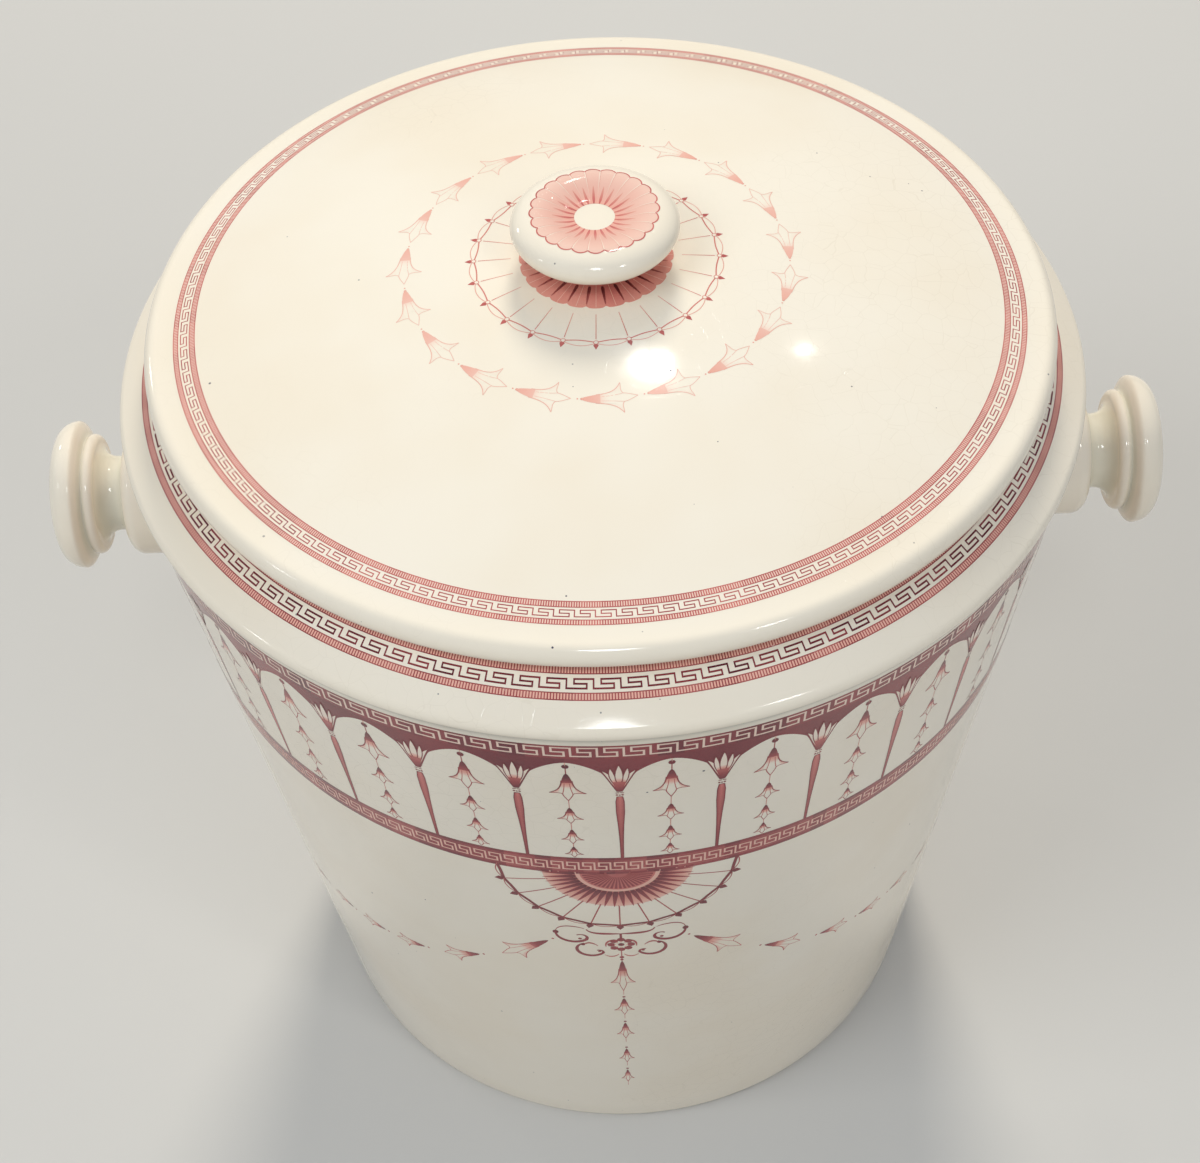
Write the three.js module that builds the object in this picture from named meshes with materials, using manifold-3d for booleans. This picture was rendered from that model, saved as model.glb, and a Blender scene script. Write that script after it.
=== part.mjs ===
// A lidded toilet pail of the washstand set: tapering bucket with a sloping shoulder,
// two knob-shaped lugs for a bail, and a low domed lid with a dished knob.
// Millimetres, +Z up, origin at the centre of the foot, lugs on +X and -X.

import * as THREE from "three";
import { mergeVertices } from "three/addons/utils/BufferGeometryUtils.js";
import Module from "manifold-3d";

const wasm = await Module();
wasm.setup();

// Pail: wall, foot and floor
const footRadius = 101.8; // wall line carried down to the table
const wallThickness = 5.5;
const floorThickness = 6.5;
const footRecess = 3.5;
const footRingWidth = 8;
const footRounding = 3;
const footInnerBevel = 3;
const floorFillet = 12;

// Pail: lip, shoulder and mouth
const rimRadius = 134.4;
const lipHeight = 254.8; // middle of the rounded lip
const lipRounding = 3;
const lipOverhang = 1.3; // how far the lip stands out from the wall line
const lipNeck = 4.8; // from the middle of the lip down to the plain wall
const shoulderSlope = 30; // degrees below horizontal
const shoulderThickness = 6;
const shoulderFillet = 8;
const mouthRadius = 111.5;

// Lid
const seatGap = 0.3; // between pieces that touch or are luted together
const lidOverhang = 13.1; // edge of the lid beyond the mouth
const lidEdgeThickness = 7.4;
const lidBorderWidth = 5; // nearly flat border outside the dome
const lidBorderFall = 0.4;
const lidCrown = 16; // rise of the dome inside the border
const lidThickness = 5.6;
const flangeDepth = 9;
const flangeThickness = 4.5;
const flangeClearance = 1.7;

// Lid knob
const knobRadius = 22.6;
const knobHeight = 15.3; // crest above the crown of the lid
const knobEdgeWidth = 7;
const knobEdgeThickness = 9.2;
const knobDishDepth = 2.2;
const knobDishRadius = 5.6; // flat middle of the dished top
const knobNeckRadius = 9.5;
const knobFootRadius = 12;
const knobFootCove = 2.6;
const knobCapCove = 2.8;

// Lugs, measured outwards from the wall along the lug's own axis
const lugDrop = 46.8; // from the middle of the lip down to the axis of the lugs
const lugRoot = 9; // clay carried back into the curve of the wall before it is cut to fit
const lugFlangeRadius = 18.4;
const lugFlangeThickness = 9.6;
const lugFlangeRounding = 4.2;
const lugFlangeCove = 2.8; // from the flange down to the neck
const lugNeckRadius = 11;
const lugNeckLength = 0.4;
const lugRingCove = 4.6; // from the neck up to the ring
const lugRingRadius = 17.8;
const lugRingRounding = 1.9;
const lugGrooveRadius = 16.8;
const lugHeadRadius = 21.8;
const lugHeadRounding = 6; // across the axis
const lugHeadInner = 2.4; // along the axis, from the groove out to the widest part
const lugHeadOuter = 6.2; // and from there to the face
const lugCrown = 1.4;

// Smoothness of the turned surfaces
const wallSegments = 72;
const knobSegments = 40;
const lugSegments = 32;

const { degToRad } = THREE.MathUtils;
const point = (radius, height) => new THREE.Vector2(radius, height);

// The wall is a straight taper; slant is its angle from the vertical
const wallTopRadius = rimRadius - lipOverhang;
const wallTaper = (wallTopRadius - footRadius) / lipHeight;
const slant = Math.atan(wallTaper);
const slantDegrees = THREE.MathUtils.radToDeg(slant);
const wallRadius = (height) => footRadius + wallTaper * height;
const innerWallRadius = (height) => wallRadius(height) - wallThickness / Math.cos(slant);

// The shoulder is a straight slope that leaves the lip as a tangent
const slope = degToRad(shoulderSlope);
const lipCentre = point(rimRadius - lipRounding, lipHeight);
const lipTangent = point(
  lipCentre.x + lipRounding * Math.sin(slope),
  lipCentre.y + lipRounding * Math.cos(slope),
);
const shoulderTop = (radius) => lipTangent.y + (lipTangent.x - radius) * Math.tan(slope);
const shoulderUnder = (radius) => shoulderTop(radius) - shoulderThickness / Math.cos(slope);

// The mouth is a full round bead as thick as the shoulder
const beadRadius = shoulderThickness / 2;
const beadCentre = point(
  mouthRadius + beadRadius,
  shoulderTop(mouthRadius + beadRadius) - beadRadius / Math.cos(slope),
);
const crestHeight = beadCentre.y + beadRadius;

// The lid rests on the crest of the mouth
const seatHeight = crestHeight + seatGap;
const edgeRounding = lidEdgeThickness / 2;
const lidRadius = mouthRadius + lidOverhang;
const borderInnerRadius = lidRadius - edgeRounding - lidBorderWidth;
const borderHeight = seatHeight + lidEdgeThickness + lidBorderFall;
const crownHeight = borderHeight + lidCrown;
const domeRadius = (borderInnerRadius ** 2 + lidCrown ** 2) / (2 * lidCrown);
const flangeRadius = mouthRadius - flangeClearance;

const lugHeight = lipHeight - lugDrop;

// Height of the lid's upper surface at a radius
function domeTop(radius) {
  return crownHeight - domeRadius + Math.sqrt(domeRadius ** 2 - radius ** 2);
}

// Points on an arc or a quarter of an ellipse, angles in degrees from the outward horizontal
function arc(centre, across, up, from, to, steps) {
  const curve = new THREE.EllipseCurve(
    centre.x,
    centre.y,
    across,
    up,
    degToRad(from),
    degToRad(to),
    to < from,
  );
  return curve.getPoints(steps);
}

// Points on a dome that lies a given depth under the lid's upper surface
function domeArc(fromRadius, toRadius, depth, steps) {
  return Array.from({ length: steps + 1 }, (_, i) => {
    const radius = fromRadius + ((toRadius - fromRadius) * i) / steps;
    return point(radius, domeTop(radius) - depth);
  });
}

// A closed body of revolution about Z from an outline that starts and ends on the axis
function turned(outline, segments) {
  const geometry = new THREE.LatheGeometry(outline, segments).rotateX(Math.PI / 2);
  geometry.deleteAttribute("normal");
  geometry.deleteAttribute("uv");
  const merged = mergeVertices(geometry, 1e-4);
  const corners = merged.index.array;
  const faces = [];
  for (let i = 0; i < corners.length; i += 3) {
    const [a, b, c] = corners.slice(i, i + 3);
    if (a !== b && b !== c && c !== a) faces.push(a, b, c);
  }
  merged.setIndex(faces);
  return merged;
}

function toSolid(geometry) {
  const vertProperties = new Float32Array(geometry.attributes.position.array);
  const triVerts = new Uint32Array(geometry.index.array);
  return new wasm.Manifold(new wasm.Mesh({ numProp: 3, vertProperties, triVerts }));
}

function toGeometry(solid) {
  const { vertProperties, triVerts } = solid.getMesh();
  const geometry = new THREE.BufferGeometry();
  geometry.setAttribute("position", new THREE.BufferAttribute(vertProperties, 3));
  geometry.setIndex(new THREE.BufferAttribute(triVerts, 1));
  return geometry;
}

// Underside, foot ring and outside of the wall, from the axis up to the lip
function pailOutside() {
  const footCentre = point(
    wallRadius(footRounding) - footRounding / Math.cos(slant),
    footRounding,
  );
  const ringInner = footCentre.x - footRingWidth;
  const neckHeight = lipHeight - lipNeck;
  return [
    point(0, footRecess),
    point(ringInner - footInnerBevel, footRecess),
    point(ringInner, 0),
    ...arc(footCentre, footRounding, footRounding, -90, -slantDegrees, 3),
    point(wallRadius(neckHeight), neckHeight),
    ...arc(lipCentre, lipRounding, lipRounding, -60, 90 - shoulderSlope, 6),
  ];
}

// Mouth bead, underside of the shoulder, inner wall and floor, back to the axis
function pailInside() {
  const innerWallFoot = innerWallRadius(0);
  const filletCentreRadius =
    (innerWallFoot +
      wallTaper * (shoulderUnder(0) - shoulderFillet / Math.cos(slope)) -
      shoulderFillet / Math.cos(slant)) /
    (1 + wallTaper * Math.tan(slope));
  const filletCentre = point(
    filletCentreRadius,
    shoulderUnder(filletCentreRadius) - shoulderFillet / Math.cos(slope),
  );
  const floorTop = footRecess + floorThickness;
  const floorCentreHeight = floorTop + floorFillet;
  const floorCentre = point(
    innerWallRadius(floorCentreHeight) - floorFillet / Math.cos(slant),
    floorCentreHeight,
  );
  return [
    ...arc(beadCentre, beadRadius, beadRadius, 90 - shoulderSlope, 270 - shoulderSlope, 7),
    ...arc(filletCentre, shoulderFillet, shoulderFillet, 90 - shoulderSlope, -slantDegrees, 4),
    ...arc(floorCentre, floorFillet, floorFillet, -slantDegrees, -90, 4),
    point(0, floorTop),
  ];
}

function pailBody() {
  return turned([...pailOutside(), ...pailInside()], wallSegments);
}

// Low dome with a rounded edge and a locating flange that drops into the mouth
function lid() {
  const flangeCentre = point(
    flangeRadius - flangeThickness / 2,
    seatHeight - flangeDepth + flangeThickness / 2,
  );
  const flangeInner = flangeRadius - flangeThickness;
  const edgeCentre = point(lidRadius - edgeRounding, seatHeight + edgeRounding);
  const outline = [
    ...domeArc(0, flangeInner, lidThickness, 6),
    ...arc(flangeCentre, flangeThickness / 2, flangeThickness / 2, 180, 360, 5),
    point(flangeRadius, seatHeight),
    ...arc(edgeCentre, edgeRounding, edgeRounding, -90, 90, 7),
    ...domeArc(borderInnerRadius, 0, 0, 8),
  ];
  return turned(outline, wallSegments);
}

// Mushroom knob on a short neck, with a shallow dish in its top
function lidKnob() {
  const crest = crownHeight + knobHeight;
  const edgeCentre = point(knobRadius - knobEdgeWidth, crest - knobEdgeThickness / 2);
  const capUnder = crest - knobEdgeThickness;
  const footHeight = domeTop(knobFootRadius) + seatGap;
  const footCove = point(knobFootRadius, footHeight + knobFootCove);
  const capCove = point(knobNeckRadius + knobCapCove, capUnder - knobCapCove);
  const dishEase = (edgeCentre.x - knobDishRadius) / 3; // length of each level end of the S
  const dish = new THREE.CubicBezierCurve(
    point(edgeCentre.x, crest),
    point(edgeCentre.x - dishEase, crest),
    point(knobDishRadius + dishEase, crest - knobDishDepth),
    point(knobDishRadius, crest - knobDishDepth),
  );
  const outline = [
    point(0, crownHeight + seatGap),
    ...arc(footCove, knobFootRadius - knobNeckRadius, knobFootCove, 270, 180, 3),
    ...arc(capCove, knobCapCove, knobCapCove, 180, 90, 3),
    ...arc(edgeCentre, knobEdgeWidth, knobEdgeThickness / 2, -90, 90, 8),
    ...dish.getPoints(5).slice(1),
    point(0, crest - knobDishDepth),
  ];
  return turned(outline, knobSegments);
}

// Outline of a lug: flange on the wall, neck, small ring, groove and domed head
function lugOutline() {
  const flangeFace = lugFlangeThickness + lugFlangeRounding;
  const neckStart = flangeFace + lugFlangeCove;
  const neckEnd = neckStart + lugNeckLength;
  const ringMiddle = neckEnd + lugRingCove + lugRingRounding;
  const grooveEnd = ringMiddle + lugRingRounding;
  const headMiddle = grooveEnd + lugHeadInner;
  const headEnd = headMiddle + lugHeadOuter;
  const flangeCorner = point(lugFlangeRadius - lugFlangeRounding, lugFlangeThickness);
  const flangeCove = point(lugNeckRadius + lugFlangeCove, neckStart);
  const ringCove = point(lugNeckRadius + lugRingCove, neckEnd);
  const ringCentre = point(lugRingRadius - lugRingRounding, ringMiddle);
  const headCentre = point(lugHeadRadius - lugHeadRounding, headMiddle);
  const crownArch = new THREE.QuadraticBezierCurve(
    point(headCentre.x, headEnd),
    point(headCentre.x / 2, headEnd + lugCrown),
    point(0, headEnd + lugCrown),
  );
  return [
    point(0, -lugRoot),
    point(lugFlangeRadius, -lugRoot),
    ...arc(flangeCorner, lugFlangeRounding, lugFlangeRounding, 0, 90, 3),
    ...arc(flangeCove, lugFlangeCove, lugFlangeCove, 270, 180, 3),
    ...arc(ringCove, lugRingCove, lugRingCove, 180, 90, 3),
    ...arc(ringCentre, lugRingRounding, lugRingRounding, -90, 60, 4),
    point(lugGrooveRadius, grooveEnd),
    ...arc(headCentre, lugHeadRounding, lugHeadInner, -75, 0, 3),
    ...arc(headCentre, lugHeadRounding, lugHeadOuter, 0, 90, 5).slice(1),
    ...crownArch.getPoints(2).slice(1),
  ];
}

// One lug on the +X side (side 1) or the -X side (side -1), its root cut to the wall
function lug(side) {
  const geometry = turned(lugOutline(), lugSegments);
  geometry.rotateY((side * Math.PI) / 2);
  geometry.translate(side * wallRadius(lugHeight), 0, lugHeight);
  const reach = lugFlangeRadius * 2;
  const low = lugHeight - reach;
  const high = lugHeight + reach;
  const wall = [
    point(0, low),
    point(wallRadius(low) + seatGap, low),
    point(wallRadius(high) + seatGap, high),
    point(0, high),
  ];
  return toGeometry(toSolid(geometry).subtract(toSolid(turned(wall, wallSegments))));
}

const whiteGlaze = new THREE.MeshStandardMaterial({ color: 0xf3ecdc, roughness: 0.14 });
const printedGlaze = new THREE.MeshStandardMaterial({ color: 0xf1e7d9, roughness: 0.14 });

function piece(name, geometry, material) {
  geometry.computeVertexNormals();
  const mesh = new THREE.Mesh(geometry, material);
  mesh.name = name;
  return mesh;
}

const pail = new THREE.Group();
pail.add(piece("pail_body", pailBody(), printedGlaze));
pail.add(piece("right_lug", lug(1), whiteGlaze));
pail.add(piece("left_lug", lug(-1), whiteGlaze));

const cover = new THREE.Group();
cover.add(piece("lid", lid(), printedGlaze));
cover.add(piece("lid_knob", lidKnob(), printedGlaze));

const part = new THREE.Group();
part.add(pail, cover);

export default part;
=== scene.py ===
# Lidded chamber pail: turned white clay under a clear glaze, with a red print laid round it.
# Metres, +Z up, the printed panel at the front (-Y), a lug on each side.
from math import atan2, ceil, cos, degrees, exp, hypot, pi, radians, sin, sqrt, tan

import bpy
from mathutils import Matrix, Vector


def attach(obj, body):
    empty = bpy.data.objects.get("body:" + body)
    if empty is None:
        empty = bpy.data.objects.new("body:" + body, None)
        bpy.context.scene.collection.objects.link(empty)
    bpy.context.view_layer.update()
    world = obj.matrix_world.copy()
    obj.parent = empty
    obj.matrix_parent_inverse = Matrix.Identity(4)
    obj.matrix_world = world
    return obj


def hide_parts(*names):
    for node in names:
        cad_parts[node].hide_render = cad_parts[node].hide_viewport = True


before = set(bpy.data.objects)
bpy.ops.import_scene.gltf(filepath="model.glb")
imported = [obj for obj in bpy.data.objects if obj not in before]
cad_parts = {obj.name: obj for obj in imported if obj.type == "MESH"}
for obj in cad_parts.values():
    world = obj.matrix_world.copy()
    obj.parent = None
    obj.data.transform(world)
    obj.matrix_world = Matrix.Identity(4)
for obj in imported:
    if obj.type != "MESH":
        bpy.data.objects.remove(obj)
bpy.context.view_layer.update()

mm = 0.001
print("loaded", len(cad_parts), "nodes")


# Helpers: maths on sockets, and node trees

class Socket:                                    # a node's output that Python's operators work on
    def __init__(self, graph, made, out):
        self.graph, self.made, self.out = graph, made, out

    def __getitem__(self, name):                 # another output of the same node
        return Socket(self.graph, self.made, self.made.outputs[name])

    def __add__(self, other):
        return self.graph.maths("ADD", self, other)

    def __sub__(self, other):
        return self.graph.maths("SUBTRACT", self, other)

    def __rsub__(self, other):
        return self.graph.maths("SUBTRACT", other, self)

    def __mul__(self, other):
        return self.graph.maths("MULTIPLY", self, other)

    def __truediv__(self, other):
        return self.graph.maths("DIVIDE", self, other)

    def __gt__(self, other):
        return self.graph.maths("GREATER_THAN", self, other)

    __radd__, __rmul__ = __add__, __mul__


class Graph:                                     # a shader or geometry tree, with one way to add a node
    def __init__(self, tree):
        self.tree = tree

    def node(self, kind, settings=None, sockets=None, out=0):
        made = self.tree.nodes.new(kind)
        for key, value in (settings or {}).items():
            if key == "stops":                   # a colour ramp's positions and colours
                while len(made.color_ramp.elements) < len(value):
                    made.color_ramp.elements.new(1.0)
                for element, (place, colour) in zip(made.color_ramp.elements, value):
                    element.position, element.color = place, (*colour, 1.0)
            else:
                setattr(made, key, value)
        for key, value in (sockets or {}).items():
            if isinstance(value, Socket):
                self.tree.links.new(value.out, made.inputs[key])
            else:
                made.inputs[key].default_value = value
        return Socket(self, made, made.outputs[out] if len(made.outputs) else None)

    def maths(self, operation, *values, clamp=False):
        return self.node("ShaderNodeMath", {"operation": operation, "use_clamp": clamp}, dict(enumerate(values)))

    def smooth(self, value, low, high):          # 0 below low, 1 above high, eased between
        settings = {"interpolation_type": "SMOOTHSTEP"}
        return self.node("ShaderNodeMapRange", settings, {"Value": value, "From Min": low, "From Max": high})

    def blend(self, factor, first, second):      # colours
        sockets = {0: factor, 6: first, 7: second}
        return self.node("ShaderNodeMix", {"data_type": "RGBA"}, sockets, 2)

    def noise(self, where, scale, detail=2.0, roughness=0.5):
        sockets = {"Vector": where, "Scale": scale, "Detail": detail, "Roughness": roughness}
        return self.node("ShaderNodeTexNoise", {}, sockets)

    def mark(self, name):                        # a mesh's attribute, in a glaze
        return self.node("ShaderNodeAttribute", {"attribute_name": name})["Fac"]

    def read(self, name, kind="FLOAT"):          # the same, in a geometry tree
        return self.node("GeometryNodeInputNamedAttribute", {"data_type": kind}, {"Name": name})

    def store(self, geometry, name, value, kind="FLOAT", domain="POINT"):
        sockets = {"Geometry": geometry, "Name": name, "Value": value}
        return self.node("GeometryNodeStoreNamedAttribute", {"data_type": kind, "domain": domain}, sockets)


def emptied(owner):                              # the cleared node tree of a material or a world
    owner.use_nodes = True
    owner.node_tree.nodes.clear()
    return Graph(owner.node_tree)


def newTree(name, inputs):                       # a geometry tree with named inputs and one output
    tree = bpy.data.node_groups.new(name, "GeometryNodeTree")
    tree.interface.new_socket("Geometry", in_out="OUTPUT", socket_type="NodeSocketGeometry")
    tree.interface.new_socket("Geometry", in_out="INPUT", socket_type="NodeSocketGeometry")
    for label, (kind, value) in inputs.items():
        socket = tree.interface.new_socket(label, in_out="INPUT", socket_type="NodeSocket" + kind)
        if value is not None:
            socket.default_value = value
    graph = Graph(tree)
    return graph, graph.node("NodeGroupInput")


def endTree(graph, geometry, glaze):             # realised, with its glaze
    real = graph.node("GeometryNodeRealizeInstances", {}, {"Geometry": geometry})
    done = graph.node("GeometryNodeSetMaterial", {}, {"Geometry": real, "Material": glaze})
    graph.node("NodeGroupOutput", {}, {"Geometry": done})
    return graph.tree


def grown(name, mesh, *steps):                   # a plain mesh object made by geometry trees from a start mesh
    seed = bpy.data.objects.new(name + "Seed", mesh)
    bpy.context.scene.collection.objects.link(seed)
    for tree, values in steps:
        modifier = seed.modifiers.new(tree.name, "NODES")
        modifier.node_group = tree
        for item in tree.interface.items_tree:
            if item.in_out == "INPUT" and item.name in values:
                modifier[item.identifier] = values[item.name]
    bpy.context.view_layer.update()
    ready = seed.evaluated_get(bpy.context.evaluated_depsgraph_get())
    done = bpy.data.objects.new(name, bpy.data.meshes.new_from_object(ready))
    done.data.name = name
    bpy.context.scene.collection.objects.link(done)
    bpy.data.objects.remove(seed)
    print("made", name, len(done.data.polygons), "faces")
    return done


# Camera, at the photograph's viewing angle

view = {
    "place": (0.0, -0.4539, 0.6789),
    "turn": (41.057, 1.847, -1.706),             # degrees about X, Y, Z
    "lens": 65.99,
    "sensor": 36.0,
}
cameraData = bpy.data.cameras.new("camera")
cameraData.lens, cameraData.sensor_width = view["lens"], view["sensor"]
camera = bpy.data.objects.new("camera", cameraData)
camera.location = view["place"]
camera.rotation_euler = [radians(a) for a in view["turn"]]
bpy.context.scene.collection.objects.link(camera)
bpy.context.scene.camera = camera
print("camera placed")


# Glazes

glazeLook = {
    "white": (0.90, 0.815, 0.68),
    "cream": (0.875, 0.77, 0.615),               # slow drift of the body's tone under the glaze
    "pooled": (0.73, 0.69, 0.55),                # where the glaze lies thick in a hollow
    "thin": (0.90, 0.80, 0.65),                  # where it draws away from an edge
    "craze": (0.50, 0.40, 0.27),
    "speck": (0.03, 0.033, 0.07),
    "bare": (0.66, 0.545, 0.40),                 # unglazed clay on the foot ring
    "bareDark": (0.50, 0.395, 0.27),
    "driftScale": 14.0,                          # per metre, as all the scales here
    "patchScale": 60.0,
    "crazeScale": 190.0,
    "crazeWidth": 0.018,                         # of a cell
    "crazeStrength": 0.15,
    "crazedPatchScale": 9.0,
    "wanderScale": 55.0,
    "wander": 0.006,                             # metres that a crack strays
    "speckScale": 280.0,
    "speckRarity": 0.93,                         # the share of cells without one
    "speckReach": (0.035, 0.09),                 # of a cell: the least, and what luck adds
    "cloudScale": 42.0,                          # drift of the ink, then its grain
    "grainScale": 2600.0,
    "gritScale": 900.0,
    "smearScale": 22.0,
    "waveScale": 70.0,                           # slow unevenness of the glaze
    "waveHeight": 0.00016,
    "gritHeight": 0.0002,
    "roughness": 0.085,
    "bareRoughness": 0.78,
    "ior": 1.52,
}
inkLook = [                                      # from the faintest tint to the deepest line of the plate
    (0.0, (0.89, 0.67, 0.55)),
    (0.25, (0.82, 0.41, 0.32)),
    (0.5, (0.62, 0.17, 0.145)),
    (0.75, (0.34, 0.055, 0.058)),
    (1.0, (0.125, 0.017, 0.025)),
]


def glazed(name, printed):
    look = glazeLook
    material = bpy.data.materials.new(name)
    g = emptied(material)
    where = g.node("ShaderNodeTexCoord")["Object"]
    drift = g.smooth(g.noise(where, look["driftScale"], 3.0), 0.35, 0.7)
    colour = g.blend(drift, (*look["white"], 1), (*look["cream"], 1))
    pool = g.mark("pool")
    patch = g.noise(where, look["patchScale"], 2.0)
    colour = g.blend(g.maths("MULTIPLY", pool, 0.35 + 0.75 * patch, clamp=True), colour, (*look["pooled"], 1))
    colour = g.blend(g.maths("MULTIPLY", 0 - pool, 0.4 + 0.5 * patch, clamp=True), colour, (*look["thin"], 1))

    wander = g.node("ShaderNodeVectorMath", {"operation": "MULTIPLY_ADD"}, {
        0: g.noise(where, look["wanderScale"], 3.0)["Color"], 1: (look["wander"],) * 3, 2: where})
    web = g.node("ShaderNodeTexVoronoi", {"feature": "DISTANCE_TO_EDGE"},
                 {"Vector": wander, "Scale": look["crazeScale"]})
    crack = 1 - g.smooth(web, 0.0, look["crazeWidth"])
    crazed = crack * g.smooth(g.noise(where, look["crazedPatchScale"], 2.0), 0.42, 0.66)
    colour = g.blend(crazed * look["crazeStrength"], colour, (*look["craze"], 1))

    spots = g.node("ShaderNodeTexVoronoi", {"feature": "F1"}, {"Vector": where, "Scale": look["speckScale"]})
    rare = g.node("ShaderNodeSeparateColor", {}, {"Color": spots["Color"]})
    least, more = look["speckReach"]
    reach = least + more * rare["Green"] * rare["Green"]
    speck = (rare["Red"] > look["speckRarity"]) * (1 - g.smooth(spots["Distance"], reach * 0.6, reach))
    colour = g.blend(speck * (0.45 + 0.5 * rare["Blue"]), colour, (*look["speck"], 1))

    if printed:
        ink = g.mark("ink")
        wear = g.mark("wear")
        cloud = g.noise(where, look["cloudScale"], 3.0)
        grain = g.noise(where, look["grainScale"], 1.0)
        depth = g.maths("MULTIPLY", ink, 0.86 + 0.28 * cloud + 0.16 * (grain - 0.5) + 0.10 * wear, clamp=True)
        tone = g.node("ShaderNodeValToRGB", {"stops": inkLook}, {"Fac": depth})
        colour = g.blend(g.smooth(ink, 0.0, 0.16), colour, tone)

    bare = g.mark("bare")
    grit = g.noise(where, look["gritScale"], 4.0, 0.7)
    clay = g.blend(grit, (*look["bare"], 1), (*look["bareDark"], 1))
    colour = g.blend(bare, colour, clay)
    smear = g.smooth(g.noise(where, look["smearScale"], 4.0, 0.6), 0.45, 0.8)
    rough = look["roughness"] + 0.05 * smear + 0.10 * crazed
    rough = rough + (look["bareRoughness"] - rough) * bare

    waves = g.node("ShaderNodeBump", {}, {
        "Height": g.noise(where, look["waveScale"], 1.0), "Strength": 0.35, "Distance": look["waveHeight"]})
    pores = g.node("ShaderNodeBump", {}, {
        "Height": grit * bare - crazed * 0.15, "Strength": 0.5, "Distance": look["gritHeight"], "Normal": waves})
    shader = g.node("ShaderNodeBsdfPrincipled", {}, {
        "Base Color": colour, "Roughness": rough, "Normal": pores, "IOR": look["ior"]})
    g.node("ShaderNodeOutputMaterial", {}, {"Surface": shader})
    return material


printedGlaze = glazed("printedGlaze", True)
whiteGlaze = glazed("whiteGlaze", False)
print("glazes mixed")


# Turned clay: an outline swept round its axis

def turnedTree():
    g, given = newTree("Turned clay", {"Segments": ("Int", 256), "Glaze": ("Material", None)})
    outline = given["Geometry"]
    rows = g.node("GeometryNodeAttributeDomainSize", {}, {"Geometry": outline})["Point Count"]
    sheet = g.node("GeometryNodeMeshGrid", {}, {"Vertices X": given["Segments"] + 1, "Vertices Y": rows})
    index = g.node("GeometryNodeInputIndex")
    column = g.maths("FLOOR", index / rows)
    row = index - column * rows
    angle = column / given["Segments"] * (2 * pi)

    def sampled(kind, field):
        settings = {"data_type": kind, "domain": "POINT"}
        return g.node("GeometryNodeSampleIndex", settings, {"Geometry": outline, "Value": field, "Index": row})

    spot = g.node("ShaderNodeSeparateXYZ", {}, {0: sampled("FLOAT_VECTOR", g.node("GeometryNodeInputPosition"))})
    swept = g.node("ShaderNodeCombineXYZ", {}, {
        "X": spot["X"] * g.maths("COSINE", angle), "Y": spot["X"] * g.maths("SINE", angle), "Z": spot["Z"]})
    clay = sheet
    for mark in ("pool", "bare", "onWall"):
        clay = g.store(clay, mark, sampled("FLOAT", g.read(mark)))
    clay = g.node("GeometryNodeSetPosition", {}, {"Geometry": clay, "Position": swept})
    clay = g.node("GeometryNodeMergeByDistance", {}, {"Geometry": clay, "Distance": 0.000004})
    clay = g.node("GeometryNodeSetShadeSmooth", {}, {"Geometry": clay})
    clay = g.store(clay, "facing", g.node("GeometryNodeInputNormal"), "FLOAT_VECTOR")
    return endTree(g, clay, given["Glaze"])


turned = turnedTree()


def arc(centre, across, up, start, stop, steps):   # degrees from the outward horizontal
    turns = [radians(start + (stop - start) * i / steps) for i in range(steps + 1)]
    return [(centre[0] + across * cos(a), centre[1] + up * sin(a)) for a in turns]


def bezier(a, b, c, d, steps):
    out = []
    for i in range(steps + 1):
        t = i / steps
        w = ((1 - t) ** 3, 3 * t * (1 - t) ** 2, 3 * t * t * (1 - t), t ** 3)
        out.append(tuple(sum(k * p[j] for k, p in zip(w, (a, b, c, d))) for j in (0, 1)))
    return out


def straight(a, b, step):                        # from a to b, without a itself
    n = max(1, ceil(hypot(b[0] - a[0], b[1] - a[1]) / step))
    return [(a[0] + (b[0] - a[0]) * i / n, a[1] + (b[1] - a[1]) * i / n) for i in range(1, n + 1)]


def traced(points, step=8.0):                    # joins the given points, none further apart than the step
    out = [points[0]]
    for point in points[1:]:
        if hypot(point[0] - out[-1][0], point[1] - out[-1][1]) > 1e-6:
            out += straight(out[-1], point, step)
    return out


def pooling(points, reach=2.5):                  # how hollow (above 0) or sharp (below 0) the outline is nearby
    bends = [0.0] * len(points)
    for i in range(1, len(points) - 1):
        (ax, ay), (bx, by), (cx, cy) = points[i - 1], points[i], points[i + 1]
        turn = atan2((bx - ax) * (cy - by) - (by - ay) * (cx - bx), (bx - ax) * (cx - bx) + (by - ay) * (cy - by))
        bends[i] = -turn
    walk = [0.0]
    for a, b in zip(points, points[1:]):
        walk.append(walk[-1] + hypot(b[0] - a[0], b[1] - a[1]))
    out = []
    for i in range(len(points)):
        total = sum(b * exp(-((walk[j] - walk[i]) / reach) ** 2) for j, b in enumerate(bends))
        out.append(max(-1.0, min(1.0, total * 1.1)))
    return out


def outlineMesh(name, points, marks=None):       # the outline in the XZ plane, with its marks on the points
    mesh = bpy.data.meshes.new(name)
    edges = [(i, i + 1) for i in range(len(points) - 1)]
    mesh.from_pydata([(x * mm, 0, z * mm) for x, z in points], edges, [])
    for key, values in {"pool": pooling(points), **(marks or {})}.items():
        mesh.attributes.new(key, "FLOAT", "POINT").data.foreach_set("value", values)
    return mesh


# Pail

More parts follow.
